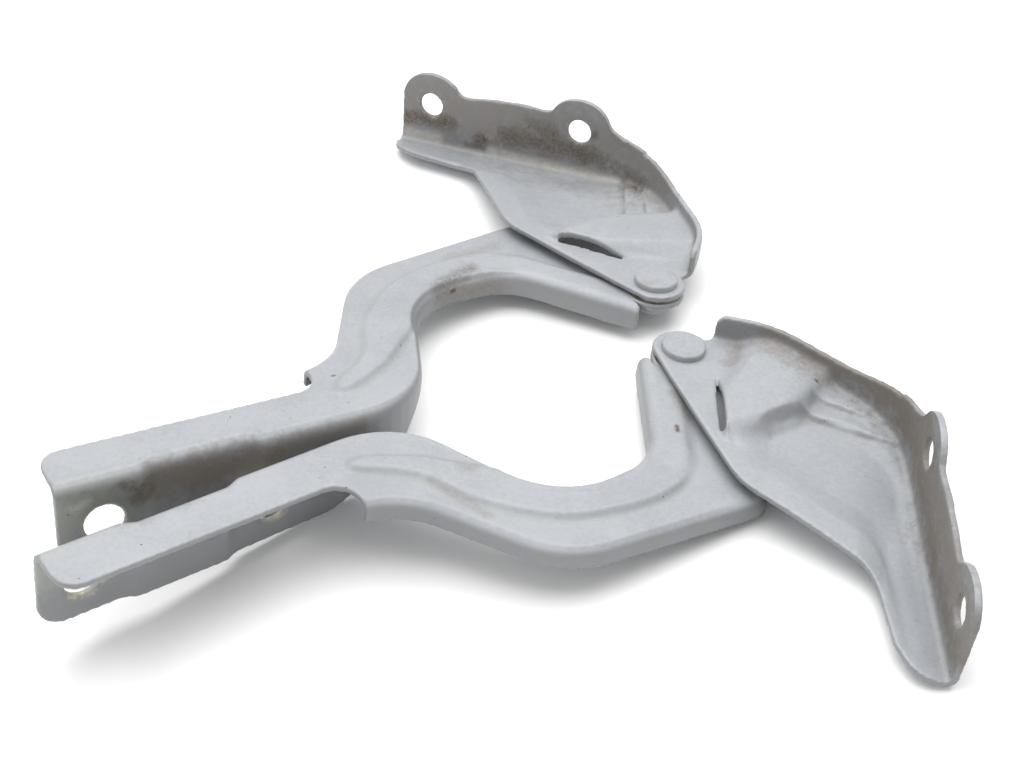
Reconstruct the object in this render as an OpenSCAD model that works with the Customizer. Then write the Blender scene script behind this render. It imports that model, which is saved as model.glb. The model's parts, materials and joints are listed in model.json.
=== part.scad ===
// A pair of bonnet hinges, left hand and right hand, lying loose on a flat surface.
// Each one is a pressed gooseneck arm and a pressed bonnet bracket that swings on one pivot rivet.
// Millimetres. The hinge frame has the pivot axis on Z and the top of the arm's pivot tab at Z = 0.
// The mounting leg runs along -X. The right hand hinge is drawn, and the left hand one is its mirror image.

/* [Sheet] */
// Thickness of the pressed sheet
sheet_t = 2.5; // [2:0.1:3]
// Outside radius of the pressed bends
bend_r = 4.5; // [3.6:0.1:6]

/* [Arm] */
// Distance from the pivot to the free end of the mounting leg
arm_length = 245; // [236:1:260]
// Distance from the pivot line to the outer face of the mounting flange
leg_offset = 27.5; // [25:0.5:30]
// Width of the leg's top plate, from its free edge to the mounting flange
leg_width = 21; // [19:0.5:24]
// Drop of the leg's top plate below the pivot tab
leg_drop = 2.5; // [1.5:0.1:4]
// Depth of the mounting flange below the top plate
mount_depth = 34.5; // [33:0.5:38]
// Depth of the gooseneck's rim flanges below the low side of its top plate
rim_depth = 8; // [7.5:0.5:11]
// How far the gooseneck's inner edge dips past the pivot line
neck_dip = 36; // [33:0.5:39]
// How far the gooseneck's outer edge dips past the pivot line
neck_reach = 67.5; // [65:0.5:72]
// Width of the raised bead along the gooseneck's inner edge
bead_width = 16; // [13:0.5:18]
// Radius of the rounded free corner of the leg
leg_corner_r = 8; // [4:0.5:10]
// Radius of the notch where the outer rim flange starts
notch_r = 8; // [5:0.5:9]
// Radius of the pivot tab and of the bracket's pivot lobe
lobe_r = 11.5; // [11:0.1:13]

/* [Mounting holes] */
// Diameter of the two holes in the mounting flange
mount_hole_d = 14; // [10:0.5:16]
// Distance of the first hole from the end of the leg
mount_hole_inset = 16; // [13:0.5:20]
// Distance between the two holes
mount_hole_pitch = 69; // [64:0.5:74]
// Depth of the hole centres below the top plate
mount_hole_depth = 18.5; // [17:0.5:20]
// Depth of the shallow recess between the two hole pads
pad_recess = 2.2; // [0.5:0.1:3]
// Half length of the raised pad round each hole
pad_half = 13; // [11:0.5:15]

/* [Bracket] */
// Distance from the pivot to the first ear hole
ear_reach = 101.6; // [97:0.2:106]
// Distance between the two ear holes
ear_pitch = 69.4; // [65:0.2:74]
// Direction of the ear flange, turned from the line through the pivot and the first hole
ear_heading = -51; // [-54:0.5:-48]
// Diameter of the two ear holes
ear_hole_d = 10.4; // [8:0.2:12]
// Height of the first ear hole above the bracket's underside
ear_1_height = 17.5; // [16:0.5:20]
// Height of the second ear hole above the bracket's underside
ear_2_height = 13; // [11.5:0.5:15]
// Height of each ear above its hole
ear_rise = 16; // [13:0.5:18]
// Height of the low stretch of the bracket's flange beside the pivot
low_flange = 12.5; // [11:0.5:15]
// Width of the tab at the bracket's far end
tab_width = 17; // [15:0.5:20]
// Drop of the tab below the pivot pad
tab_drop = 8; // [5:0.5:9]
// Height of the raised island beside the pivot pad
island_rise = 5; // [4.2:0.1:6]
// Width of the lanced slot at the foot of the island
slot_width = 1.2; // [1:0.05:1.4]

/* [Pivot] */
// Diameter of the rivet's shank
rivet_d = 9.6; // [8:0.1:10]
// Diameter of the rivet's head
rivet_head_d = 16.4; // [15.4:0.1:18]
// Height of the rivet's head
rivet_head_h = 2.4; // [1.8:0.1:3]
// Diameter of the rivet's formed tail
rivet_tail_d = 15; // [13.5:0.1:16]
// Height of the rivet's formed tail
rivet_tail_h = 3; // [2:0.1:3.6]
// Wall thickness of the bush sleeve
bush_wall = 1.2; // [0.8:0.1:1.5]
// Thickness of the bush flange between the arm and the bracket
bush_flange_t = 1; // [0.8:0.1:1.5]
// Thickness of the washer under the formed tail
washer_t = 1.5; // [1:0.1:2]
// Radial clearance of the bush on the rivet
running_gap = 0.05; // [0.02:0.01:0.1]
// Axial clearance on each side of the bracket
end_gap = 0.1; // [0.05:0.01:0.2]

/* [Lay] */
// Angle of the right bracket from the line of its arm
right_open = 77.5; // [72:0.5:82]
// Angle of the left bracket from the line of its arm
left_open = 77; // [72:0.5:82]
// Heading of the right arm on the surface
right_heading = 38; // [37.5:0.5:44]
// Heading of the left arm on the surface
left_heading = 29; // [24:0.5:29.5]
// Distance between the two pivots along Y
pivot_spread = 40; // [39.5:0.5:46]
// Offset of the left pivot from the right one along X
pivot_shift = -8; // [-12:0.5:-7.5]

/* [Hidden] */
$fn = 64;
far = 300;

// Paint and metal colours
paint = [0.74, 0.76, 0.78];
paint_shade = [0.66, 0.68, 0.70];
zinc = [0.80, 0.79, 0.72];
bronze = [0.55, 0.42, 0.25];

// Steps of the swept sections
run_steps = 4;
arc_steps = 8;
bend_steps = 4;

// Vector and curve helpers
function unit(v) = v / norm(v);
function mix(a, b, f) = a + (b - a) * f;
function clamp01(f) = max(0, min(1, f));
function ease(f) = let (g = clamp01(f)) g * g * (3 - 2 * g);
function heading(a) = [cos(a), sin(a)];
function up(q, z) = [q.x, q.y, z];
function turn_at(a, b, c) = let (u = unit(b - a), v = unit(c - b)) atan2(u.x * v.y - u.y * v.x, u * v);
function spun(v, a) = [v.x * cos(a) - v.y * sin(a), v.x * sin(a) + v.y * cos(a)];

// Point at fraction f of the arc of radius r that rounds the corner b of the line a, b, c
function arc_point(a, b, c, r, f) =
    let (u = unit(b - a), turn = turn_at(a, b, c))
    let (start = b - u * r * tan(abs(turn) / 2))
    let (centre = start + sign(turn) * r * [-u.y, u.x])
    centre + spun(start - centre, turn * f);

// A route is a list of corners with a radius for each inner one, read as run 0, arc 0, run 1, arc 1 and so on
function run_from(p, r, k) = k == 0 ? p[0] : arc_point(p[k - 1], p[k], p[k + 1], r[k - 1], 1);
function run_to(p, r, k) = k == len(p) - 2 ? p[k + 1] : arc_point(p[k], p[k + 1], p[k + 2], r[k], 0);
function route_point(p, r, g) =
    let (k = min(floor(g / 2), len(p) - 2))
    g - 2 * k <= 1 ? mix(run_from(p, r, k), run_to(p, r, k), g - 2 * k)
                   : arc_point(p[k], p[k + 1], p[k + 2], r[k], g - 2 * k - 1);
function route_line(p, g) =
    let (k = min(floor(g / 2), len(p) - 2), line = unit(p[k + 1] - p[k]))
    g - 2 * k <= 1 ? line : spun(line, turn_at(p[k], p[k + 1], p[k + 2]) * (g - 2 * k - 1));
function right_of(v) = [v.y, -v.x];
function route_marks(runs, steps) =
    [for (k = [0 : runs - 1]) each concat([for (i = [0 : steps - 1]) 2 * k + i / steps],
        k == runs - 1 ? [2 * k + 1] : [for (i = [0 : arc_steps - 1]) 2 * k + 1 + i / arc_steps])];
function route_outline(p, r) = [for (g = route_marks(len(p) - 1, 1)) route_point(p, r, g)];

// A solid swept through rings, each a strip of sheet with as many points below as on its upper side
module sweep_solid(rings) {
    n = len(rings[0]);
    last = (len(rings) - 1) * n;
    skin = [for (j = [0 : len(rings) - 2], i = [0 : n - 1])
        let (a = j * n + i, b = j * n + (i + 1) % n) each [[a, b, b + n], [a, b + n, a + n]]];
    caps = [for (i = [0 : n / 2 - 2])
        let (j = n - 1 - i)
        each [[j - 1, i + 1, i], [j, j - 1, i], [last + i, last + i + 1, last + j - 1],
              [last + i, last + j - 1, last + j]]];
    polyhedron([for (ring = rings) each ring], concat(skin, caps), convexity = 10);
}

// The waste outside a rounded corner at the origin, for a solid that fills the first quadrant
module corner_waste(r, h) {
    linear_extrude(h, center = true)
        polygon(concat([[-1, -1], [r, -1]],
            [for (i = [1 : arc_steps - 1]) [r, r] + r * heading(270 - 90 * i / arc_steps)],
            [[-1, r]]));
}

// ARM

leg_end = -arm_length;
free_edge = leg_offset - leg_width;
leg_top = -leg_drop;
rim_bottom = leg_top - rim_depth;
mount_bottom = leg_top - mount_depth;
notch_x = -144;
past_pivot = 30;
bead_slope = 6;
sweep_start = leg_end - 8;

// Inner edge of the arm, along the mounting flange and round the bay of the gooseneck
tab_root = [-17, 4];
neck_corner = [-45, -neck_dip];
inner_end = tab_root + past_pivot * unit(tab_root - neck_corner);
inner_corners = [[sweep_start, leg_offset], [-112, leg_offset], [-86, -neck_dip], neck_corner, inner_end];
inner_radii = [34, 30, 22];

// Outer edge of the arm, along the cut away side of the leg and round the wedge under the bracket
wedge_root = [9, -18];
wedge_corner = [-22, -neck_reach - 6];
outer_end = wedge_root + past_pivot * unit(wedge_root - wedge_corner);
outer_corners = [[sweep_start, -7], [-133, -7], [-102, -neck_reach + 6], wedge_corner, outer_end];
outer_radii = [30, 34, 8];

hole_x = [leg_end + mount_hole_inset, leg_end + mount_hole_inset + mount_hole_pitch];
pad_blend = 5;
recess_span = [hole_x[0] + pad_half, hole_x[1] - pad_half];

// Depth of the recess at a place along the leg
function recess_at(x) =
    pad_recess * ease((x - recess_span[0]) / pad_blend) * ease((recess_span[1] - x) / pad_blend);

// Height of the arm's top on its inner and outer side, and the lower end of its inner flange
function bead_top(g) = leg_top + leg_drop * (0.5 * ease(g - 1) + 0.5 * ease((g - 4.5) / 1.8));
function low_top(g) = leg_top + leg_drop * ease((g - 6.2) / 0.3);
function inner_bottom(g) = mix(mount_bottom, rim_bottom, ease((g - 0.85) / 1.1));

// One cross section of the arm, from the inner flange at c over the top plate to the outer flange at v
// The directions c_in and v_in point from each flange into the channel, square to it
function arm_ring(c, v, c_in, v_in, bead_z, low_z, c_bottom, v_bottom) =
    let (in_r = bend_r - sheet_t, c_foot = c + c_in * bend_r, v_foot = v + v_in * bend_r)
    let (across = unit(v_foot - c_foot))
    let (quarter = [for (i = [0 : bend_steps]) 90 * i / bend_steps])
    let (step = [for (f = [0, 0.3, 0.7, 1])
        up(c_foot + across * (bead_width - bend_r + bead_slope * (f - 0.5)), mix(bead_z, low_z, ease(f)))])
    let (outside = concat(
        [up(c, c_bottom)],
        [for (a = quarter) up(c_foot - c_in * bend_r * cos(a), bead_z - bend_r * (1 - sin(a)))],
        step,
        [for (a = quarter) up(v_foot - v_in * bend_r * sin(a), low_z - bend_r * (1 - cos(a)))],
        [up(v, v_bottom)]))
    let (inside = concat(
        [up(v + v_in * sheet_t, v_bottom)],
        [for (a = quarter) up(v_foot - v_in * in_r * cos(a), low_z - bend_r + in_r * sin(a))],
        [for (i = [len(step) - 1 : -1 : 0]) step[i] - [0, 0, sheet_t]],
        [for (a = quarter) up(c_foot - c_in * in_r * sin(a), bead_z - bend_r + in_r * cos(a))],
        [up(c + c_in * sheet_t, c_bottom)]))
    concat(outside, inside);

// Stations along the arm, with extra ones where the pads of the mounting flange start and end
leg_run = run_to(inner_corners, inner_radii, 0).x - sweep_start;
pad_edges = [recess_span[0], recess_span[0] + pad_blend / 2, recess_span[0] + pad_blend,
             recess_span[1] - pad_blend, recess_span[1] - pad_blend / 2, recess_span[1]];
arm_marks = concat([0], [for (x = pad_edges) (x - sweep_start) / leg_run],
                   [for (g = route_marks(4, run_steps)) if (g > 0.9) g]);

module arm_channel() {
    sweep_solid([for (i = [len(arm_marks) - 1 : -1 : 0])
        let (g = arm_marks[i])
        let (c = route_point(inner_corners, inner_radii, g), v = route_point(outer_corners, outer_radii, g))
        let (c_in = right_of(route_line(inner_corners, g)), v_in = -right_of(route_line(outer_corners, g)))
        arm_ring(g < 1 ? c - [0, recess_at(c.x)] : c, v, c_in, v_in,
                 bead_top(g), low_top(g), inner_bottom(g), rim_bottom)]);
}

// Points round the pivot at the lobe's radius
function lobe_arc(from, to) =
    [for (i = [0 : 2 * arc_steps]) lobe_r * heading(mix(from, to, i / (2 * arc_steps)))];

// What is cut away round the pivot tab, where both rim flanges end
module tab_waste() {
    across = unit(wedge_root - tab_root);
    rim = across * (bend_r + 1);
    linear_extrude(far, center = true)
        polygon(concat([tab_root - 20 * across, tab_root + rim], lobe_arc(150, -40),
            [wedge_root - rim, wedge_root + 20 * across, [80, 0], [40, 80], [-60, 60]]));
}

// What is cut away round the leg: its rounded free corner, and the notch where the outer rim flange starts
function arc_line(centre, r, from, sweep) =
    [for (i = [0 : arc_steps]) centre + r * heading(from + sweep * i / arc_steps)];
module leg_waste() {
    linear_extrude(far, center = true)
        polygon(concat([[leg_end, leg_offset + 20]],
            arc_line([leg_end, free_edge] + leg_corner_r * [1, 1], leg_corner_r, 180, 90),
            arc_line([notch_x, free_edge] - notch_r * [1, 1], notch_r, 90, -90),
            [[notch_x, -60], [leg_end - 40, -60], [leg_end - 40, leg_offset + 20]]));
}

// The bottom corner of the mounting flange is rounded
module mount_corner_waste() {
    translate([leg_end, leg_offset, mount_bottom]) rotate([90, 0, 0]) corner_waste(10, 4 * bend_r);
}

module mount_holes() {
    for (x = hole_x)
        translate([x, leg_offset, leg_top - mount_hole_depth])
            rotate([90, 0, 0]) cylinder(h = 4 * bend_r, d = mount_hole_d, center = true);
}

module arm() {
    color(paint)
        difference() {
            arm_channel();
            tab_waste();
            leg_waste();
            mount_corner_waste();
            mount_holes();
            cylinder(h = far, d = rivet_d + 2 * running_gap, center = true);
        }
}

// BRACKET, with the underside of its pivot pad at Z = 0

pad_top = sheet_t;
ear_line = heading(ear_heading);
ear_out = [-ear_line.y, ear_line.x];
ear_1 = [ear_reach, 0];
face_1 = ear_1 + ear_out * sheet_t / 2;
flange_y = 27.5;
end_run = ear_pitch + 13.6;
past_end = 8;

// Outer face of the flange, from the pivot to past the far end
flange_end = face_1 + ear_line * (end_run + past_end);
flange_knee = face_1 - ear_line * (flange_y - face_1.y) / -ear_line.y;
flange_start = [2.5, lobe_r + 5];
flange_corners = [flange_start - [25, 0], flange_start, [20, flange_y], flange_knee, flange_end];
flange_radii = [8, 40, 50];

// Free edge of the bracket, from the pivot lobe to the tab
tab_end = flange_end - ear_out * tab_width;
edge_heading = -30;
edge_start = [5, -15.7];
edge_lead = edge_start - 30 * heading(edge_heading - 1.5);
edge_corners = [edge_lead, edge_start, [56, -44.5], [112, -45], tab_end];
edge_radii = [60, 30, 16];

function edge_at(g) = route_point(edge_corners, edge_radii, g);
function face_at(g) = route_point(flange_corners, flange_radii, g);
function inward_at(g) = right_of(route_line(flange_corners, g));
function foot_at(g) = face_at(g) + bend_r * inward_at(g);

// Stations of the bracket's sections, as places along its free edge and its flange
// Two of them run along the lanced slot, and two stand close together where the terraces start
slot_near = [2.9, 1.475];
slot_far = [3, 1.725];
terrace_start = [4.36, 4.36];
terrace_full = [4.42, 4.42];
terrace_end = 6.1;
function stations(a, b, n) = [for (i = [0 : n - 1]) mix(a, b, i / n)];
bracket_stations = concat(
    stations([0, 0], [1, 1], 2), stations([1, 1], slot_near, 7), stations(slot_near, slot_far, 1),
    stations(slot_far, [4, 4], 9), stations([4, 4], terrace_start, 3),
    stations(terrace_start, terrace_full, 1), stations(terrace_full, [5, 5], 4),
    stations([5, 5], [6, 6], arc_steps), stations([6, 6], [7, 7], 6), [[7, 7]]);

// Heights along the bracket: its free edge, its flange foot, the trough between them and the flange's top
function edge_top(g) = pad_top - 5 * ease((g - 4.2) / 2) - 0.5 * ease(g - 6);
function foot_top(g) = pad_top - tab_drop * ease((g - 5) / 2);
function trough_at(g) = trough_dip * ease((g - 3) / 1.5) * ease((7 - g) / 1.6);
function flange_top(g) =
    g < 5.6 ? low_flange + 5 * ease((g - 4.9) / 0.8) - 4 * ease((2.1 - g) / 0.9) : ear_1_height + 22;

// Depth of the trough across the plate, between the strip along the free edge and the flange
trough_dip = 2.7;
strip_share = 0.12;
function trough_share(s) = ease((s - strip_share) / 0.22) * ease((1 - s) / 0.24);

// How far a pressed form has risen at a point of the plan, from 0 outside it to 1 on its top
// Each side is a line with the form on its left, and the width of the slope along it
function side_gap(q, a, b) = let (u = unit(b - a)) u.x * (q.y - a.y) - u.y * (q.x - a.x);
function form_rise(q, sides) = ease(min([for (s = sides) side_gap(q, s[0], s[1]) / s[2]]));

// The raised island between the pivot pad, the slot and the flange
slot_slope = 1.4;
island_sides = [[[12.5, 20], [19.5, -7], 8], [foot_at(slot_near.y), edge_at(slot_near.x), slot_slope],
                [[40, -30], [47.5, -26], 5], [[47.5, -26], [54, 3], 7], [[54, 3], [51, 27], 7]];

// Two terraces that step down from the flange, from the island to the first ear
terrace_drops = [0.4, 1.5];
riser = 0.8;
terrace_widths = [3, 21];
function terrace_reach(g) =
    let (share = g < terrace_start.y ? (g - 1) / 2 : (6 - g) / (6 - terrace_start.y))
    mix(terrace_widths[0], terrace_widths[1], clamp01(share));
function terrace_rise(g) =
    ease((g - terrace_start.y) / (terrace_full.y - terrace_start.y)) * ease((terrace_end - g) / 0.3);

// Places across the plate from 0 at the free edge to 1 at the flange's foot, each with the terrace it lies on
plain_lanes = 10;
function lanes(width, reach) =
    let (low = 1 - (reach + riser) / width)
    concat([for (i = [0 : plain_lanes]) [low * i / plain_lanes, undef]],
        [[1 - reach / width, 1], [1 - (reach / 2 + riser) / width, 1], [1 - reach / 2 / width, 0], [1, 0]]);

// One cross section of the bracket, from its free edge over the plate and up the flange
function bracket_ring(e_place, f_place) =
    let (e = edge_at(e_place), f = face_at(f_place), f_in = inward_at(f_place), foot = foot_at(f_place))
    let (in_r = bend_r - sheet_t, foot_z = foot_top(f_place), rise = terrace_rise(f_place))
    let (plate = [for (lane = lanes(norm(foot - e), terrace_reach(f_place)))
        let (s = lane[0], q = mix(e, foot, s))
        let (trough = mix(edge_top(e_place), foot_z, s) - trough_at(f_place) * trough_share(s))
        let (top = mix(trough, pad_top + island_rise, form_rise(q, island_sides)))
        up(q, is_undef(lane[1]) ? top : mix(top, max(top, foot_z - terrace_drops[lane[1]]), rise))])
    let (quarter = [for (i = [0 : bend_steps]) 90 * i / bend_steps])
    let (last = len(plate) - 1, bend_z = plate[last].z)
    let (upper = concat(plate,
        [for (a = quarter) if (a > 0) up(foot - f_in * in_r * sin(a), bend_z + in_r * (1 - cos(a)))],
        [up(f + f_in * sheet_t, flange_top(f_place))]))
    let (lower = concat([up(f, flange_top(f_place))],
        [for (a = quarter) if (a < 90) up(foot - f_in * bend_r * cos(a), bend_z + in_r - bend_r * sin(a))],
        [for (i = [last : -1 : 0]) plate[i] - [0, 0, sheet_t]]))
    concat(upper, lower);

module bracket_sheet() {
    sweep_solid([for (place = bracket_stations) bracket_ring(place.x, place.y)]);
}

// The lanced slot that opens the island toward the strip along the free edge
slot_mid = (slot_near + slot_far) / 2;
slot_from = mix(edge_at(slot_mid.x), foot_at(slot_mid.y), 0.655);
slot_to = mix(edge_at(slot_mid.x), foot_at(slot_mid.y), 0.22);
module slot_waste() {
    along = slot_to - slot_from;
    translate(slot_from)
        rotate(atan2(along.y, along.x))
            linear_extrude(far, center = true) {
                translate([0, -slot_width / 2]) square([norm(along), slot_width]);
                circle(d = slot_width);
                translate([norm(along), 0]) circle(d = slot_width);
            }
}

// Upper outline of the ear flange, with X along the flange from the first ear hole and Y up
ear_half = 12;
ear_1_top = ear_1_height + ear_rise;
ear_2_top = ear_2_height + ear_rise;
ear_outline = route_outline(
    [[-62, low_flange + 1], [-19, low_flange + 7], [-ear_half, ear_1_top], [ear_half, ear_1_top],
     [17, ear_1_top - 9], [ear_pitch - 18, ear_2_top - 8], [ear_pitch - ear_half, ear_2_top],
     [end_run + 1, ear_2_top], [end_run + 2, -20]],
    [14, 9, 9, 8, 8, 9, 10]);
module ear_waste() {
    translate([ear_1.x, ear_1.y, 0])
        rotate(ear_heading)
            rotate([90, 0, 0])
                linear_extrude(40, center = true)
                    polygon(concat(ear_outline, [[far, -20], [far, far], [-62, far]]));
}

module ear_holes() {
    for (hole = [[0, ear_1_height], [ear_pitch, ear_2_height]])
        translate([ear_1.x, ear_1.y, 0])
            rotate(ear_heading)
                translate([hole[0], 0, hole[1]])
                    rotate([90, 0, 0]) cylinder(h = 6 * sheet_t, d = ear_hole_d, center = true);
}

// What is cut away round the nose of the tab, with X along the flange from the first ear hole
nose_r = 11;
nose_centre = [end_run - nose_r, sheet_t / 2 - tab_width + nose_r];
module nose_waste() {
    translate(ear_1)
        rotate(ear_heading)
            linear_extrude(far, center = true)
                polygon(concat([nose_centre + nose_r * heading(-65) + 30 * heading(205)],
                    [for (i = [0 : arc_steps]) nose_centre + nose_r * heading(65 * (i / arc_steps - 1))],
                    [[end_run, 30], [end_run + 60, 30], [end_run + 60, -60], [end_run - 40, -60]]));
}

// What is cut away round the pivot lobe, where the flange starts
module lobe_waste() {
    linear_extrude(far, center = true)
        polygon(concat([[-10, -60]], lobe_arc(edge_heading - 85, -280),
            [flange_start - [-0.7, 3], flange_start + [0, 15], [-60, 60], [-60, -60]]));
}

bush_r = rivet_d / 2 + running_gap + bush_wall;

module bracket() {
    color(paint_shade)
        difference() {
            bracket_sheet();
            slot_waste();
            ear_waste();
            ear_holes();
            nose_waste();
            lobe_waste();
            cylinder(h = far, r = bush_r + running_gap, center = true);
        }
}

// PIVOT

bracket_z = end_gap + bush_flange_t;
head_z = bracket_z + sheet_t + end_gap;
tail_z = -sheet_t - washer_t;
head_round = 0.9;
tail_round = 1.4;

// Half section of the rivet: flat head with a rounded rim, plain shank and domed tail
rivet_section = concat(
    [[0, tail_z - rivet_tail_h]],
    [for (a = [0 : 15 : 90])
        [rivet_tail_d / 2 - tail_round * (1 - sin(a)), tail_z - rivet_tail_h + tail_round * (1 - cos(a))]],
    [[rivet_tail_d / 2, tail_z], [rivet_d / 2, tail_z], [rivet_d / 2, head_z], [rivet_head_d / 2, head_z]],
    [for (a = [0 : 15 : 90])
        [rivet_head_d / 2 - head_round * (1 - cos(a)), head_z + rivet_head_h - head_round * (1 - sin(a))]],
    [[0, head_z + rivet_head_h]]);

module rivet() {
    color(paint) rotate_extrude() polygon(rivet_section);
}

// The bush turns with the bracket: its flange runs on the arm and its sleeve on the rivet
module bush() {
    color(bronze)
        translate([0, 0, end_gap])
            difference() {
                union() {
                    cylinder(h = bush_flange_t, r = lobe_r - 1);
                    cylinder(h = bush_flange_t + sheet_t, r = bush_r);
                }
                cylinder(h = far, d = rivet_d + 2 * running_gap, center = true);
            }
}

module washer() {
    color(zinc)
        translate([0, 0, tail_z])
            difference() {
                cylinder(h = washer_t, d = rivet_tail_d + 2);
                cylinder(h = far, d = rivet_d + 2 * running_gap, center = true);
            }
}

// LAY of the two hinges on the surface

right_tilt = [3.5, 8.8];
left_tilt = [-3.5, 8.8];
right_at = [65, -12.6, 13.04];
left_at = right_at + [pivot_shift, pivot_spread, 0];

module lay_right() {
    translate(right_at) rotate([right_tilt[0], right_tilt[1], right_heading]) children();
}

module lay_left() {
    translate(left_at) rotate([left_tilt[0], left_tilt[1], left_heading]) mirror([0, 1, 0]) children();
}

module swung(open) {
    translate([0, 0, bracket_z]) rotate(-open) children();
}

module right_arm() { lay_right() arm(); }
module right_bracket() { lay_right() swung(right_open) bracket(); }
module right_rivet() { lay_right() rivet(); }
module right_bush() { lay_right() bush(); }
module right_washer() { lay_right() washer(); }
module left_arm() { lay_left() arm(); }
module left_bracket() { lay_left() swung(left_open) bracket(); }
module left_rivet() { lay_left() rivet(); }
module left_bush() { lay_left() bush(); }
module left_washer() { lay_left() washer(); }

right_arm();
right_bracket();
right_rivet();
right_bush();
right_washer();
left_arm();
left_bracket();
left_rivet();
left_bush();
left_washer();
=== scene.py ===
# %% [markdown]
# # A pair of used bonnet hinges
# The object is a left and a right bonnet hinge, lying loose on a pale floor. Each hinge is a pressed
# gooseneck arm and a pressed bracket on one pivot rivet. The solids come from the CAD frame, where
# every piece already has its place, so this lesson is about what CAD leaves out: softened press work,
# satin paint, sheared edges and road dirt.

import json
import math

import bpy
import numpy as np
from mathutils import Matrix, Vector

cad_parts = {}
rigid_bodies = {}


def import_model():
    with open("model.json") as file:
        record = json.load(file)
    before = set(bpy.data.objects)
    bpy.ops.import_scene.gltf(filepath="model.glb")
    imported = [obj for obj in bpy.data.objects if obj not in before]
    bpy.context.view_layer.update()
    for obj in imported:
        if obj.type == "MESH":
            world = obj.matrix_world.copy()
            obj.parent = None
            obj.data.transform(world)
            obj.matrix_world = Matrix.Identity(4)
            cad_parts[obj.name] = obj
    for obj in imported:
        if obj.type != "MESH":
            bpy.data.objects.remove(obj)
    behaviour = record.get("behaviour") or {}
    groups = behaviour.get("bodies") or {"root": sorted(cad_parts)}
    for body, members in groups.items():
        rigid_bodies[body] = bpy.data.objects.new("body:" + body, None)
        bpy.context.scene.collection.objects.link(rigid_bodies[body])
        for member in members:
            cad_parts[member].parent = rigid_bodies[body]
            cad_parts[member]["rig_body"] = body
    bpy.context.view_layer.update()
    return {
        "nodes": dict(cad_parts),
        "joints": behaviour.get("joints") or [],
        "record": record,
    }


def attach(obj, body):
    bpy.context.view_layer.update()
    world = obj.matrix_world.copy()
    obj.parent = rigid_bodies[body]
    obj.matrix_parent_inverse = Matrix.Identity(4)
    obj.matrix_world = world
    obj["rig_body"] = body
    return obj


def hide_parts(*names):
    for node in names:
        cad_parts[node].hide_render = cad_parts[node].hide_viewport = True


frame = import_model()
nodes = frame["nodes"]
MM = 0.001
SIDES = ("right", "left")
print("nodes:", ", ".join(sorted(nodes)))

# %% [markdown]
# ## Two small coordinate systems
# Dirt and wear sit at known places on a hinge, so it helps to think in the hinge's own millimetres. The
# record that comes with the frame gives each pivot and each bolt hole. An arm's X runs along its two
# body holes, and a bracket's X runs from the pivot to its first bonnet hole. Z is the pivot axis in
# both, pointing up.

# %% Places on an arm or a bracket
HOLES_OF = {"arm": "body", "bracket": "bonnet"}
mounts = {m["name"]: Vector(m["pos_m"]) for m in frame["record"]["mounts"]}
pivots = {j["name"]: j for j in frame["joints"]}


def local_axes(side, part):
    """Origin and unit X, Y, Z of one arm or bracket, in the row frame."""
    joint = pivots[f"{side}_pivot"]
    origin = Vector(joint["pos_m"])
    up = Vector(joint["axis"])
    up = up if up.z > 0 else -up
    hole_1, hole_2 = (mounts[f"{side}_{part}_hole_{i}"] for i in (1, 2))
    along = hole_2 - hole_1 if part == "body" else hole_1 - origin
    along = (along - up * along.dot(up)).normalized()
    across = up.cross(along)
    facing = hole_1 - origin if part == "body" else origin - hole_2
    return origin, along, across if across.dot(facing) > 0 else -across, up


def spot(side, part, x, y, z):
    """A point given in the millimetres of one arm ("body") or bracket ("bonnet")."""
    origin, along, across, up = local_axes(side, part)
    return origin + MM * (x * along + y * across + z * up)


for side in SIDES:
    print(side, "pivot at", [round(c, 4) for c in spot(side, "body", 0, 0, 0)])

# %% [markdown]
# ## Camera
# The photograph was taken from in front and above, with a longish lens. The camera stands on a circle
# round a point on the floor, looks down by its pitch, and is turned a little about its own axis, as a
# hand-held one is.

# %% Camera
IMAGE_WIDTH = 1024
FOCAL_PIXELS = 1791
SENSOR_WIDTH = 36
VIEW_DEPTH = 20
CAMERA_AIM = Vector((1.64, -10.9, 0)) * MM
CAMERA_DISTANCE = 675.5 * MM
CAMERA_PITCH = math.radians(41.15)
CAMERA_YAW = math.radians(2.63)
CAMERA_ROLL = math.radians(-3.04)

back_off = Vector((0, -math.cos(CAMERA_PITCH), math.sin(CAMERA_PITCH))) * CAMERA_DISTANCE
bpy.ops.object.select_all(action="DESELECT")
bpy.ops.object.camera_add()
camera = bpy.context.object
camera.name = "photo_camera"
turn = Matrix.Rotation(CAMERA_YAW, 4, "Z")
tilt = Matrix.Rotation(math.pi / 2 - CAMERA_PITCH, 4, "X")
roll = Matrix.Rotation(CAMERA_ROLL, 4, "Z")
camera.matrix_world = Matrix.Translation(CAMERA_AIM + turn @ back_off) @ turn @ tilt @ roll
camera.data.sensor_width = SENSOR_WIDTH
camera.data.lens = FOCAL_PIXELS * SENSOR_WIDTH / IMAGE_WIDTH
camera.data.clip_end = VIEW_DEPTH
bpy.context.scene.camera = camera
print("lens", round(camera.data.lens, 1), "mm")

# %% [markdown]
# ## Floor and light
# The floor is a plain white sheet. One wide soft box hangs above and behind the hinges, so the tops are
# bright, the walls that face the viewer are dim, and soft shadows fall forward. A small weak one stands
# on the left, and an even sky fills the rest.

# %% Floor and light
FLOOR_SIZE = 6.0
TOP_BOX = {"place": (0.05, 0.3, 1.5), "size": 1.9, "watts": 34}
LEFT_BOX = {"place": (-1.1, -0.1, 0.8), "size": 0.8, "watts": 1.2}
SKY_STRENGTH = 0.79

bpy.ops.object.select_all(action="DESELECT")
bpy.ops.mesh.primitive_plane_add(size=FLOOR_SIZE, location=(0, 0, 0))
floor = bpy.context.object
floor.name = "floor"


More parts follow.
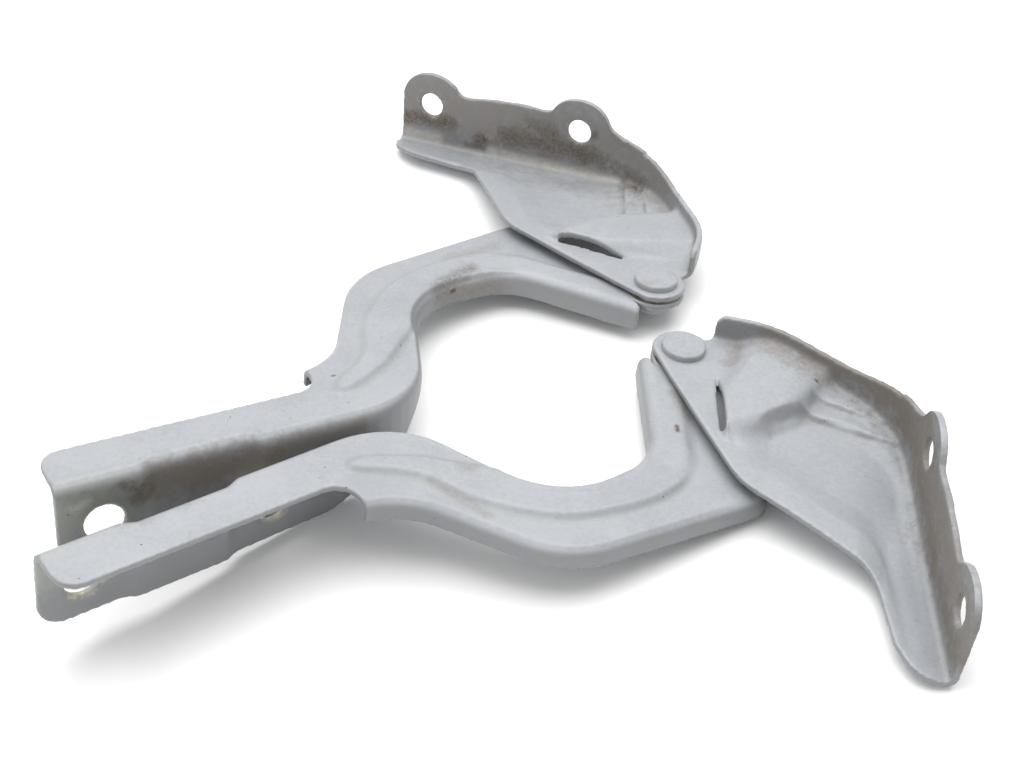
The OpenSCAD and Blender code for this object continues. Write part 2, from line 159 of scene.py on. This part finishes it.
def soft_box(name, place, size, watts):
    """A square area light that faces the middle of the floor."""
    bpy.ops.object.light_add(type="AREA", location=place)
    lamp = bpy.context.object
    lamp.name = name
    lamp.rotation_euler = (-Vector(place)).to_track_quat("-Z", "Y").to_euler()
    lamp.data.size = size
    lamp.data.energy = watts


soft_box("soft_box_top", **TOP_BOX)
soft_box("soft_box_left", **LEFT_BOX)
world = bpy.data.worlds.new("studio")
bpy.context.scene.world = world
world.use_nodes = True
sky = world.node_tree.nodes["Background"]
sky.inputs["Color"].default_value = (1, 1, 1, 1)
sky.inputs["Strength"].default_value = SKY_STRENGTH
bpy.context.scene.view_settings.view_transform = "Standard"
print("floor and two soft boxes")

# %% [markdown]
# ## Shader maths as plain Python
# A material here is an expression: noise, ramps and masks are added, multiplied and mixed. A small
# class wraps one output socket, so that `1 - mask` adds the Math node by itself. Every other node comes
# from its `node` method.


# %% A field over a surface
class Field:
    """One socket of a material's node tree, with arithmetic."""

    def __init__(self, tree, socket=None):
        self.tree = tree
        self.socket = socket

    def node(self, kind, settings=None, inputs=None, output=0):
        """Adds a node with its settings first, then its socket values or links."""
        made = self.tree.nodes.new(kind)
        for name, value in (settings or {}).items():
            setattr(made, name, value)
        for name, value in (inputs or {}).items():
            if isinstance(value, Field):
                self.tree.links.new(value.socket, made.inputs[name])
            else:
                made.inputs[name].default_value = value
        return Field(self.tree, made.outputs[output])

    def math(self, operation, *values):
        """A Math node on fields or numbers."""
        return self.node("ShaderNodeMath", {"operation": operation}, dict(enumerate(values)))

    def __add__(self, other):
        return self.math("ADD", self, other)

    def __sub__(self, other):
        return self.math("SUBTRACT", self, other)

    def __rsub__(self, other):
        return self.math("SUBTRACT", other, self)

    def __mul__(self, other):
        return self.math("MULTIPLY", self, other)

    __radd__ = __add__
    __rmul__ = __mul__

    def step(self, low, high):
        """0 below low and 1 above high, with a soft slope between. It falls if low is the larger."""
        first, last = (0, 1) if low < high else (1, 0)
        return self.node("ShaderNodeMapRange", {"interpolation_type": "SMOOTHSTEP"},
                         {"Value": self, "From Min": min(low, high), "From Max": max(low, high),
                          "To Min": first, "To Max": last})

    def over(self, below, above):
        """The colour above where this mask is 1, and the colour below where it is 0."""
        # A Mix node's inputs 6 and 7 are its two colours, and output 2 is the mixed one.
        colours = {6: below, 7: above}
        for socket, colour in colours.items():
            colours[socket] = colour if isinstance(colour, Field) else (*colour, 1)
        return self.node("ShaderNodeMix", {"data_type": "RGBA"}, {0: self, **colours}, output=2)


# %% [markdown]
# ## Patterns that every finish shares
# Object coordinates are metres in the row frame, so a pattern's size is given in millimetres and turned
# into a scale. `near` measures the distance to a short line, which puts a stain where the real one is.

# %% Patterns
RAGGED_RIM = 2.2
STAIN_CORE = 0.1


def noise(at, size_mm, detail=3, roughness=0.55, stretch=None):
    """Cloudy noise about 0.5, with clouds of that size. A stretch is a turn and a scale."""
    if stretch:
        at = at.node("ShaderNodeMapping", None, {"Vector": at, "Rotation": stretch[0], "Scale": stretch[1]})
    return at.node("ShaderNodeTexNoise", None, {"Vector": at, "Scale": 1 / (size_mm * MM), "Detail": detail,
                                                "Roughness": roughness})


def specks(at, spacing_mm, radius):
    """Small round dots in cells of that spacing. The radius is a share of the spacing."""
    dots = at.node("ShaderNodeTexVoronoi", None, {"Vector": at, "Scale": 1 / (spacing_mm * MM)})
    return dots.step(radius, radius * 0.5)


def near(at, start, end, radius_mm, ragged):
    """1 along a line from start to end, falling to 0 at that radius, with a rim made ragged by noise."""
    run = end - start
    away = at.node("ShaderNodeVectorMath", {"operation": "SUBTRACT"}, {0: at, 1: start})
    if run.length > 0:
        share = at.node("ShaderNodeVectorMath", {"operation": "DOT_PRODUCT"},
                        {0: away, 1: run / run.length_squared}, output="Value")
        share = share.node("ShaderNodeClamp", None, {"Value": share})
        foot = at.node("ShaderNodeVectorMath", {"operation": "SCALE"}, {0: run, "Scale": share})
        away = at.node("ShaderNodeVectorMath", {"operation": "SUBTRACT"}, {0: away, 1: foot})
    gap = at.node("ShaderNodeVectorMath", {"operation": "LENGTH"}, {0: away}, output="Value")
    return (gap * (1 / (radius_mm * MM)) + (ragged - 0.5) * RAGGED_RIM).step(1.0, STAIN_CORE)


def attribute(at, name):
    """A value that was stored per point of the piece."""
    return at.node("ShaderNodeAttribute", {"attribute_name": name}, output="Fac")


print("patterns ready")

# %% [markdown]
# ## New materials
# Every finish starts in the same way, from a surface shader and the piece's own coordinates, and ends
# by linking what varies to the shader's sockets.


# %% Materials
def material(name):
    """A new material, its surface shader and its object coordinates."""
    made = bpy.data.materials.new(name)
    made.use_nodes = True
    shader = made.node_tree.nodes["Principled BSDF"]
    return made, shader, Field(made.node_tree).node("ShaderNodeTexCoord", output="Object")


def connect(shader, **fields):
    """Links fields to the shader's varying sockets."""
    tree = shader.id_data
    for name, field in fields.items():
        tree.links.new(field.socket, shader.inputs[name.replace("_", " ").title()])


def bump(field, height_mm):
    """A Normal from a height field."""
    return field.node("ShaderNodeBump", None,
                      {"Height": field, "Distance": height_mm * MM, "Strength": 1.0})


print("materials ready")

# %% [markdown]
# ## Floor finish
# White paper, with the faintest cloudiness so that it doesn't look like a flat fill.

# %% Floor finish
PAPER = (0.86, 0.86, 0.86)
PAPER_LIGHT = (0.88, 0.88, 0.88)
PAPER_CLOUD = 180
PAPER_ROUGHNESS = 0.9

paper, shader, at = material("white_paper")
connect(shader, base_color=noise(at, PAPER_CLOUD).step(0.3, 0.7).over(PAPER, PAPER_LIGHT))
shader.inputs["Roughness"].default_value = PAPER_ROUGHNESS
floor.data.materials.append(paper)
print(paper.name)

# %% [markdown]
# ## Pressed sheet
# The CAD solids have the right walls and outlines, but press work has no hard creases: the metal flows
# round every form. A copy of each solid is merged, turned into an even fine grid with a voxel Remesh,
# and relaxed a few times. That rounds the folds and the sheared edges by less than a millimetre and
# leaves the size alone.

# %% Pressed sheet
SHEET_NODES = ("right_arm", "right_bracket", "left_arm", "left_bracket")
MERGE_GAP = 0.005 * MM
VOXEL = {"arm": 0.66 * MM, "bracket": 0.6 * MM}
RELAX_STEPS = 5
RELAX_SHARE = 0.5


def activate(piece):
    """Makes a piece the active one and the only one selected."""
    bpy.ops.object.select_all(action="DESELECT")
    piece.select_set(True)
    bpy.context.view_layer.objects.active = piece


def apply_modifier(piece, kind, **settings):
    """Adds a modifier with these settings and applies it."""
    made = piece.modifiers.new(kind.lower(), kind)
    for name, value in settings.items():
        setattr(made, name, value)
    activate(piece)
    bpy.ops.object.modifier_apply(modifier=made.name)


def merged_copy(node, name):
    """A copy of a CAD node's mesh with its loose triangles joined."""
    copy = bpy.data.objects.new(name, nodes[node].data.copy())
    bpy.context.scene.collection.objects.link(copy)
    copy.data.materials.clear()
    activate(copy)
    bpy.ops.object.mode_set(mode="EDIT")
    bpy.ops.mesh.select_all(action="SELECT")
    bpy.ops.mesh.remove_doubles(threshold=MERGE_GAP)
    bpy.ops.object.mode_set(mode="OBJECT")
    return copy


def pressed_sheet(node):
    """The softened copy of one pressed piece."""
    piece = merged_copy(node, node + "_sheet")
    kind = node.split("_")[1]
    apply_modifier(piece, "REMESH", mode="VOXEL", voxel_size=VOXEL[kind])
    apply_modifier(piece, "SMOOTH", factor=RELAX_SHARE, iterations=RELAX_STEPS)
    activate(piece)
    bpy.ops.object.shade_smooth()
    return piece


sheets = {node: pressed_sheet(node) for node in SHEET_NODES}
for piece in sheets.values():
    print(piece.name, len(piece.data.polygons), "faces")

# %% [markdown]
# ## Moving points by rule
# Some forms differ a little from the solids: the foot of the bead, the end of the inner wall, the
# pressed terraces, the rounder ears. They could be sculpted, but a rule in the hinge's own millimetres
# does the same to the left and the right piece. Both faces of a sheet move together, so its wall keeps
# its thickness.


# %% Points as arrays
def points_of(piece):
    """The piece's points and their normals, as rows."""
    mesh = piece.data
    rows = []
    for source, name in ((mesh.vertices, "co"), (mesh.vertex_normals, "vector")):
        flat = np.zeros(len(mesh.vertices) * 3, np.float32)
        source.foreach_get(name, flat)
        rows.append(flat.reshape(-1, 3).astype(float))
    return rows


def relaxed(piece, points, rounds, share=RELAX_SHARE):
    """The points after each has moved towards its neighbours' mean, by one share or by a share for each."""
    mesh = piece.data
    count = len(mesh.vertices)
    ends = np.zeros(len(mesh.edges) * 2, np.int32)
    mesh.edges.foreach_get("vertices", ends)
    a, b = ends.reshape(-1, 2).T
    links = np.maximum(np.bincount(a, minlength=count) + np.bincount(b, minlength=count), 1)
    points = points.copy()
    for _ in range(rounds):
        total = np.stack([np.bincount(a, points[b, k], count) + np.bincount(b, points[a, k], count)
                          for k in range(3)], axis=1)
        points += np.reshape(share, (-1, 1)) * (total / links[:, None] - points)
    return points


def ramp(values, low, high):
    """0 below low and 1 above high, with a soft slope between. It falls if low is the larger."""
    t = np.clip((values - low) / (high - low), 0, 1)
    return t * t * (3 - 2 * t)


print("array helpers ready")

# %% [markdown]
# ## Bead
# On the arm a raised bead follows the inside of the neck, with a soft foot and a rounded nose. Its edge
# is a line through a few points in the arm's own millimetres, and the flat of the neck is pressed up
# inside that line.

# %% Bead
BEAD_FOOT = -3.6
BEAD_RISE = 2.1
BEAD_SLOPE = 1.6
BEAD_EDGE = ((-97, -14), (-107, -5), (-117, 4), (-134, 13), (-139, 9.5), (-122, -4), (-112, -24),
             (-95, -42.5), (-77.5, -50.5), (-56, -54), (-38, -49.5), (-26, -38.5), (-19, -22))
BEAD_BAY = ((0, -10), (-50, -15), (-84, -4))
SHEET = 2.5
FLAT_NORMAL = (0.75, 0.95)
NECK_START = (-34, -48)
NECK_LEVEL = 0.6
NECK_BAND = (1.2, 0.9)


def through(points, steps=4):
    """A smooth line through given points."""
    points = np.array((points[0], *points, points[-1]), float)
    line = []
    for a, b, c, d in zip(points, points[1:], points[2:], points[3:]):
        for t in np.arange(steps) / steps:
            line.append(b + t / 2 * (c - a + t * (2 * a - 5 * b + 4 * c - d + t * (3 * (b - c) + d - a))))
    return np.array((*line, points[-1]))


def inside_depth(points, outline):
    """How far each point lies inside a closed outline. It is negative outside."""
    depth = np.full(len(points), np.inf)
    crossings = np.zeros(len(points), int)
    for a, b in zip(outline, np.roll(outline, -1, axis=0)):
        run = b - a
        share = np.clip((points - a) @ run / (run @ run), 0, 1)
        depth = np.minimum(depth, np.linalg.norm(points - a - share[:, None] * run, axis=1))
        spans = (a[1] > points[:, 1]) != (b[1] > points[:, 1])
        rise = run[1] if run[1] else 1
        crossings += spans & (points[:, 0] < a[0] + (points[:, 1] - a[1]) * run[0] / rise)
    return np.where(crossings % 2, depth, -depth)


def press_bead(local, normal_z):
    """Presses the bead to its own edge line where the neck lies flat."""
    outline = np.concatenate((through(BEAD_EDGE), np.array(BEAD_BAY, float)))
    level = local[:, 2] + np.where(normal_z > 0, 0, SHEET) - BEAD_FOOT
    flat = ramp(np.abs(normal_z), *FLAT_NORMAL) * ramp(local[:, 0], *NECK_START)
    flat = flat * ramp(np.abs(level - NECK_LEVEL), *NECK_BAND)
    neck = np.flatnonzero(flat > 0)
    wanted = BEAD_RISE * ramp(inside_depth(local[neck, :2], outline), -BEAD_SLOPE, BEAD_SLOPE)
    local[neck, 2] += flat[neck] * (wanted - level[neck])


print("bead edge through", len(BEAD_EDGE), "points")

# %% [markdown]
# ## Inner wall
# The wall on the inside of the neck runs on nearly to the round eye of the pivot. Its last stretch is
# drawn out along its own line, and the eye itself stays where it is.

# %% Inner wall
WALL_END = (-18, 3.5)
WALL_ALONG = (0.6, 0.8)
WALL_RUN_ON = 6.5
WALL_STRETCH = (-16, -1)
WALL_WIDTH = (8, 3)
EYE_EDGE = (11.6, 14.5)


def lengthen_wall(local):
    """Runs the inner wall of the neck on towards the pivot's eye."""
    away = local[:, :2] - WALL_END
    along = away @ WALL_ALONG
    across = away @ (WALL_ALONG[1], -WALL_ALONG[0])
    outside_eye = ramp(np.hypot(local[:, 0], local[:, 1]), *EYE_EDGE)
    share = ramp(along, *WALL_STRETCH) * ramp(across, *WALL_WIDTH) * outside_eye
    local[:, :2] += WALL_RUN_ON * share[:, None] * np.array(WALL_ALONG)


print("wall runs on by", WALL_RUN_ON, "mm")

# %% [markdown]
# ## Terraces and island
# The bracket's floor steps down from the flange in two narrow terraces, and the raised island beside
# the slot runs out softly. The island's ends are relaxed in a few places, and each terrace gets a crisp
# step along a line.

# %% Terraces and island
SOFT_PLACES = (((45, -21.5, 3.5), 9), ((47, 9, 4), 12), ((46, 19, 6), 8))
SOFT_ROUNDS = 60
TERRACES = (((49.5, 13.5), (76, 21), 1.6), ((50, 4), (86, 16.4), 1.9))
TERRACE_START = 2
TERRACE_END = 5
TERRACE_STEP = 0.7
TERRACE_FADE = 5


def soften(piece, local):
    """The points after much relaxing round each soft place."""
    soft = 0
    for place, radius in SOFT_PLACES:
        soft = soft + ramp(np.linalg.norm(local - place, axis=1), radius, radius / 2)
    return relaxed(piece, local, SOFT_ROUNDS, RELAX_SHARE * np.minimum(soft, 1))


def press_terraces(local):
    """Adds a crisp step along each terrace line."""
    for start, end, height in TERRACES:
        run = np.subtract(end, start)
        length = np.hypot(*run)
        run = run / length
        away = local[:, :2] - start
        along = away @ run
        beyond = away @ (-run[1], run[0])
        ends = ramp(along, -TERRACE_START, TERRACE_START)
        ends = ends * ramp(along, length + TERRACE_END, length - TERRACE_END)
        step = ramp(beyond, -TERRACE_STEP, TERRACE_STEP) - 0.5
        local[:, 2] += height * step * np.exp(-np.abs(beyond) / TERRACE_FADE) * ends


print(len(TERRACES), "terraces and", len(SOFT_PLACES), "soft places")

# %% [markdown]
# ## Ears
# Each ear of the flange is nearly a circle round its bolt hole. Its shoulders are drawn in towards the
# hole, by more where they reach further, and only above the hole and within the flange.

# %% Ears
EAR_ROUND = 14.0
EAR_TRIM = 4.0
EAR_SQUEEZE = 0.85
EAR_FADE = (30, 21)
EAR_UPPER = (-0.1, 0.45)
EAR_SHEET = (6, 4)
LEAST_REACH = 0.01


def round_ears(local, holes):
    """Draws the shoulders of both ears in towards a circle round their holes."""
    up = np.array((0, 0, 1))
    run = (holes[1] - holes[0]) * (1, 1, 0)
    run = run / np.linalg.norm(run)
    for hole in holes:
        away = local - hole
        sideways, rise = away @ run, away[:, 2]
        off_plane = np.abs(away @ np.cross(run, up))
        reach = np.maximum(np.hypot(sideways, rise), LEAST_REACH)
        pull = np.clip(EAR_SQUEEZE * (reach - EAR_ROUND), 0, EAR_TRIM) * ramp(reach, *EAR_FADE)
        pull = pull * ramp(rise / reach, *EAR_UPPER) * ramp(off_plane, *EAR_SHEET) / reach
        local -= (pull * sideways)[:, None] * run + (pull * rise)[:, None] * up


print("ears rounded to about", EAR_ROUND, "mm")

# %% [markdown]
# ## Shaping the sheets
# Now the rules are used. Each sheet's points are turned into its own millimetres, moved, relaxed twice
# so that nothing looks cut, and turned back.

# %% Shape the sheets
LAST_ROUNDS = 2


def reshape(node, piece):
    """Moves the points of one sheet by the rules for its kind."""
    side, kind = node.split("_")
    origin, *axes = (np.array(v) for v in local_axes(side, HOLES_OF[kind]))
    axes = np.array(axes)
    points, normals = points_of(piece)
    local = (points - origin) @ axes.T / MM
    if kind == "arm":
        press_bead(local, normals @ axes[2])
        lengthen_wall(local)
    else:
        local = soften(piece, local)
        press_terraces(local)
        holes = [axes @ (np.array(mounts[f"{side}_bonnet_hole_{i}"]) - origin) / MM for i in (1, 2)]
        round_ears(local, holes)
    local = relaxed(piece, local, LAST_ROUNDS)
    piece.data.vertices.foreach_set("co", (origin + MM * local @ axes).astype(np.float32).ravel())
    piece.data.update()


for node, piece in sheets.items():
    reshape(node, piece)
    print(piece.name, "reshaped")

# %% [markdown]
# ## Where edges, folds and walls are
# Paint is thin on a sheared edge, and a fold is darkened, partly by dirt and partly as painted shade.
# Both are found by relaxing the mesh much further and seeing how far each point sank: an outward edge
# sinks in, an inward fold fills up. Walls are also painted darker than tops, as painted shade. Both
# amounts are kept as attributes, so that a material can read them.

# %% Relief and steepness
FAR_RELAX_STEPS = 40
STEEP_NORMAL = (0.85, 0.45)


def keep(piece, name, values):
    """Stores one value per point as an attribute."""
    layer = piece.data.attributes.new(name, "FLOAT", "POINT")
    layer.data.foreach_set("value", values.astype(np.float32))


def relief(piece):
    """Stores how far each point stands out of its relaxed surroundings, in mm, and how steep it is."""
    points, normals = points_of(piece)
    stands_out = ((points - relaxed(piece, points, FAR_RELAX_STEPS)) * normals).sum(1) / MM
    keep(piece, "relief", stands_out)
    keep(piece, "steep", ramp(np.abs(normals[:, 2]), *STEEP_NORMAL))
    return stands_out


for piece in sheets.values():
    depth = relief(piece)
    print(piece.name, "relief from", round(depth.min(), 2), "to", round(depth.max(), 2), "mm")

# %% [markdown]
# ## Satin grey paint
# The hinges have a thin light grey coat, cool in tone and slightly uneven. Dust and small dark specks
# lie on the tops, the walls are painted darker as painted shade, the sheared edges show duller metal
# through the coat, and the folds are darkened by brown dirt and painted shade. Each sheet gets its own
# material, because each one carries its own list of stains.

# %% Paint
PAINT = (0.272, 0.287, 0.308)
PAINT_LIGHT = (0.32, 0.333, 0.351)
# Painted shade: the darker grey that steep walls are mixed towards.
PAINTED_WALL_SHADE = (0.165, 0.165, 0.165)
BARE_EDGE = (0.235, 0.235, 0.232)
DIRT = (0.078, 0.058, 0.039)
# Brown film; on the right bracket's flange it is also painted shade.
GRIME_AND_SHADE = (0.155, 0.134, 0.110)
SMUDGE = (0.17, 0.150, 0.124)
# Dust and rubbed paint, and also painted shade: the same tone darkens the inward folds.
DUST_AND_CREASE_SHADE = (0.23, 0.217, 0.198)
CRUST = (0.45, 0.43, 0.385)
RUST = (0.085, 0.048, 0.027)
BRIGHT = (0.66, 0.66, 0.65)
ZINC = (0.30, 0.315, 0.285)
YELLOW_ZINC = (0.60, 0.55, 0.36)
WALL_SHADE_SHARE = 0.6
FOLD_DIRT_AND_SHADE_SHARE = 0.4
SCUFF_SHARE = 0.5
EDGE_SHARE = 0.7
BARE_METALLIC = 0.7
PAINT_ROUGHNESS = 0.36
PAINT_RELIEF = 0.06
SPECK_SPACING = 5.5
SPECK_RADIUS = 0.075
STREAK_TURN = (0.3, 0.2, 0.6)
STREAK_SCALE = (1, 0.06, 0.3)


def paint(name, dirt, bare):
    """Satin paint with stains, and painted shade on walls and folds. Each stain is a colour, two places, a
    radius in mm and a strength.
    """
    made, shader, at = material(name)
    cloud = noise(at, 30)
    grain = noise(at, 1.6, 4, 0.65)
    crumbs = noise(at, 5, 6, 0.75)
    grit = noise(at, 1.3, 5, 0.7)
    streak = noise(at, 2.5, 2, 0.5, stretch=(STREAK_TURN, STREAK_SCALE))
    stands_out = attribute(at, "relief")
    colour = (cloud + (grain - 0.5) * 0.9).step(0.25, 0.75).over(PAINT, PAINT_LIGHT)
    # Painted shade: steep walls are mixed towards a darker grey, as if they were in shade.
    colour = (attribute(at, "steep") * WALL_SHADE_SHARE).over(colour, PAINTED_WALL_SHADE)
    # Inward folds are darkened, partly as dirt and partly as painted shade in the creases.
    fold_dirt_and_shade = (stands_out + (crumbs - 0.5) * 0.5).step(-0.12, -0.6) * FOLD_DIRT_AND_SHADE_SHARE
    colour = fold_dirt_and_shade.over(colour, DUST_AND_CREASE_SHADE)
    scuff = streak.step(0.70, 0.76) * crumbs.step(0.5, 0.6) * SCUFF_SHARE
    colour = scuff.over(colour, DUST_AND_CREASE_SHADE)
    patches = []
    for tint, start, end, radius, strength in bare:
        patches.append(near(at, start, end, radius, crumbs) * strength)
        colour = patches[-1].over(colour, tint)
    dot = specks(at, SPECK_SPACING, SPECK_RADIUS) * crumbs.step(0.45, 0.6)
    colour = dot.over(colour, DIRT)
    dirty = fold_dirt_and_shade + dot
    speckle = (crumbs * 0.5 + grit * 0.5).step(0.38, 0.62) * 0.65 + 0.35
    film = speckle * 0.45 + 0.55
    for tint, start, end, radius, strength in dirt:
        blot = near(at, start, end, radius, crumbs) * strength * (film if tint is GRIME_AND_SHADE else speckle)
        colour = blot.over(colour, tint)
        dirty = dirty + blot
    edge = (stands_out + (crumbs - 0.5) * 0.35).step(0.62, 0.92) * EDGE_SHARE
    colour = edge.over(colour, BARE_EDGE)
    connect(shader, base_color=colour, metallic=sum(patches).step(0.2, 1.2) * BARE_METALLIC,
            roughness=grain * 0.12 + PAINT_ROUGHNESS + dirty * 0.3,
            normal=bump(grain * 0.4 + dirty * 0.35 + noise(at, 7) * 0.5, PAINT_RELIEF))
    return made


print("paint ready")

# %% [markdown]
# ## Where the dirt is
# The rear hinge is the dirtier one: its bracket's flange is brown with road dirt, with a pale crust
# along the bend. The paint never reached the bolt flanges of the arms, which show dull zinc and a brown
# film, and every bolt hole has a bright rim where a washer sat.

# %% Stains
BOTH_ARMS_BARE = (
    (ZINC, (-244, 27, -13), (-219, 27, -15), 14, 0.95),
    (BRIGHT, (-238, 27.5, -13), (-234, 27.5, -11), 3.5, 0.5),
)
BOTH_ARMS_DIRT = (
    (GRIME_AND_SHADE, (-213, 27.5, -12), (-172, 26, -14), 12, 1.0),
    (GRIME_AND_SHADE, (-166, 27, -10), (-137, 27.4, -9), 6, 0.7),
)
DIRT_PLACES = {
    "right_arm": (
        (SMUDGE, (-119, -8, -3.6), (-112, -31, -3.6), 3.6, 0.45),
        (SMUDGE, (-90, -32.4, -2.4), (-74, -41.4, -2.3), 1.2, 0.5),
        (RUST, (-29.6, -31.5, -1.2), (-28.4, -29.5, -1.2), 1.5, 1.3),
        (DIRT, (-123, 3.5, -3.6), (-122.5, 3.5, -3.6), 1.0, 1.0),
        (SMUDGE, (-107, -8.4, -2.3), (-105, -11, -2.3), 3.8, 0.5),
        (SMUDGE, (-20, -27, -2), (-17, -15, -1.5), 4, 0.7),
    ),
    "left_arm": (
        (DIRT, (-76, -37, -4), (-58, -43, -2.5), 5.5, 0.8),
        (SMUDGE, (-72, -34, -8), (-48, -38, -8), 8, 0.8),
        (DIRT, (-69.5, -36, -5.6), (-68.5, -36, -5.6), 1.5, 1.4),
        (SMUDGE, (-60, -55, -3.6), (-40, -58, -3.6), 7, 0.45),
        (DIRT, (-137, 2.3, -3.6), (-136, 2.3, -3.6), 1.0, 1.2),
    ),
    "right_bracket": (
        # The first two stains darken the flange's inner face: partly brown dirt, partly painted shade.
        (GRIME_AND_SHADE, (25, 24, 14), (75, 24, 16), 16, 0.8),
        (GRIME_AND_SHADE, (75, 24, 16), (150, -62, 14), 19, 0.85),
        (GRIME_AND_SHADE, (39, 25, 8), (84, 17, 12), 7, 0.55),
        (GRIME_AND_SHADE, (84, 17, 10), (122, -28, 4), 9, 0.95),
        (GRIME_AND_SHADE, (122, -28, 3), (151, -62, 3), 7, 0.95),
        (GRIME_AND_SHADE, (95, 6.5, 24), (104, -5, 20), 8, 0.6),
        (GRIME_AND_SHADE, (13.5, 16, 3.2), (17.5, 6, 3.3), 5.5, 0.6),
        (RUST, (113.7, -17, 2.9), (113.9, -17.3, 2.9), 0.9, 1.5),
        (DIRT, (46.4, 17.7, 6.6), (47, 18, 6.4), 1.2, 1.4),
    ),
    "left_bracket": (
        (GRIME_AND_SHADE, (152, -64, 14), (66, 24, 16), 26, 0.7),
        (DIRT, (151, -63, 5), (138, -47, 7), 6, 1.0),
        (DIRT, (129.5, -36, 2), (128, -34.5, 2.5), 4.5, 1.3),
        (DIRT, (121, -26, 7), (101, -1, 9), 9, 0.9),
        (DIRT, (114, -18, 16), (108, -10, 15), 6, 0.6),
        (DIRT, (97, 4, 17), (96, 5, 18), 3.5, 0.9),
        (DIRT, (98, 2, 8), (76, 19, 3), 6.5, 0.9),
        (CRUST, (151, -62.5, -2.4), (142, -52, -1.7), 4.5, 0.9),
        (CRUST, (126, -32, -1.5), (87, 13, 0.3), 3.2, 0.8),
        (DIRT, (133, -41, -1.2), (128, -35, -1), 2.2, 0.8),
        (DIRT, (78, 18, 1.2), (77.5, 18.3, 1.2), 1.6, 1.3),
    ),
}
HOLE_RIM = 2.2
RIM_TINT = {"arm": YELLOW_ZINC, "bracket": BRIGHT}


def in_frame(node, stains):
    """Stains with their places turned from the piece's own millimetres into the row frame."""
    side, kind = node.split("_")
    part = HOLES_OF[kind]
    return [(tint, spot(side, part, *start), spot(side, part, *end), radius, strength)
            for tint, start, end, radius, strength in stains]


def hole_rims(node):
    """A bright rim round each bolt hole of one piece."""
    side, kind = node.split("_")
    rims = []
    for mount in frame["record"]["mounts"]:
        if mount["name"].startswith(f"{side}_{HOLES_OF[kind]}"):
            middle = Vector(mount["pos_m"])
            rims.append((RIM_TINT[kind], middle, middle, mount["dims"]["r_mm"] + HOLE_RIM, 1.0))
    return rims


for node, piece in sheets.items():
    arm = node.endswith("arm")
    dirt = in_frame(node, DIRT_PLACES[node] + (BOTH_ARMS_DIRT if arm else ()))
    bare = in_frame(node, BOTH_ARMS_BARE if arm else ()) + hole_rims(node)
    piece.data.materials.append(paint(node + "_paint", dirt, bare))
    body = nodes[node]["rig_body"]
    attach(piece, body)
    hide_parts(node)
    print(piece.name, "rides on", body, "with", len(dirt), "stains and", len(bare), "bare places")

# %% [markdown]
# ## Rivets, bushes and washers
# The turned pieces keep their CAD solids, which are exact. The rivets have the same paint as the
# sheets, rubbed in places, the bushes are dull bronze and the washers dull zinc.

# %% Pivot finishes
BRONZE = (0.12, 0.102, 0.078)
BRONZE_LIGHT = (0.22, 0.187, 0.138)
WASHER = (0.30, 0.30, 0.28)
WASHER_LIGHT = (0.55, 0.55, 0.52)
METALLIC = 0.85


def metal(name, dark, light, roughness):
    """Worn bare metal with turning marks too fine to count."""
    made, shader, at = material(name)
    grain = noise(at, 0.9, 4, 0.7)
    cloud = noise(at, 6, 4)
    connect(shader, base_color=(cloud + (grain - 0.5) * 0.6).step(0.3, 0.7).over(dark, light),
            roughness=grain * 0.25 + roughness, normal=bump(grain, 0.02))
    shader.inputs["Metallic"].default_value = METALLIC
    return made


def rivet_paint(name):
    """The sheets' paint, rubbed in patches."""
    made, shader, at = material(name)
    grain = noise(at, 1.4, 4, 0.65)
    cloud = noise(at, 9, 4)
    rubbed = (cloud + (grain - 0.5) * 0.5).step(0.56, 0.66) * 0.5
    connect(shader, base_color=rubbed.over(grain.step(0.3, 0.7).over(PAINT, PAINT_LIGHT), DUST_AND_CREASE_SHADE),
            roughness=grain * 0.2 + 0.34, normal=bump(grain, 0.04))
    return made


for side in SIDES:
    finishes = {"rivet": rivet_paint(side + "_rivet_paint"),
                "bush": metal(side + "_bush_bronze", BRONZE, BRONZE_LIGHT, 0.45),
                "washer": metal(side + "_washer_zinc", WASHER, WASHER_LIGHT, 0.35)}
    for kind, finish in finishes.items():
        node = nodes[f"{side}_{kind}"]
        node.data.materials.clear()
        node.data.materials.append(finish)
        print(node.name, finish.name)
